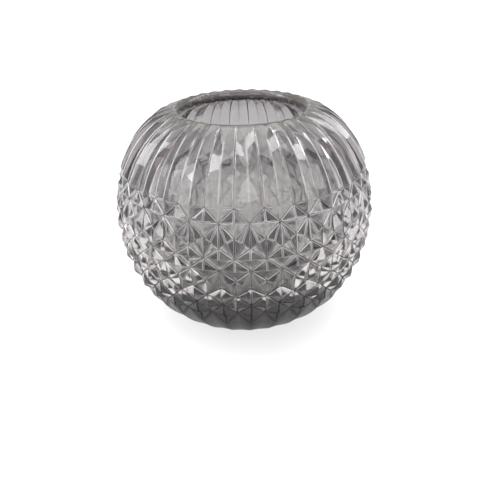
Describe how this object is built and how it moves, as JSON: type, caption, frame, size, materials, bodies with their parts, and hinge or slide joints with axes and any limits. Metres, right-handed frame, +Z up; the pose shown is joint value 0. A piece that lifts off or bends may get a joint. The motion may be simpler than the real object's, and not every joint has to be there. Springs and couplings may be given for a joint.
{
  "type": "rose bowl vase",
  "caption": "Round pressed glass bowl vase with an inward-curving smooth rim, fluted shoulder, diamond-cut body, thick base and small bumper pads under the foot.",
  "frame": {"origin": "under the middle of the bowl, on the surface that its pads stand on", "axes": "+Z up along the bowl's axis; the ridge that faces the picture is towards -Y; one pad lies towards -Y"},
  "size_m": [0.17, 0.1698, 0.145],
  "materials": {
    "smoke_glass": "clear smoke-grey glass with a faint lilac tone, fire-polished and smooth",
    "bumper_pad": "clear soft polymer, slightly frosted"
  },
  "bodies": {
    "root": {"glass_bowl": "smoke_glass", "foot_pad_1": "bumper_pad", "foot_pad_2": "bumper_pad", "foot_pad_3": "bumper_pad"}
  },
  "joints": []
}
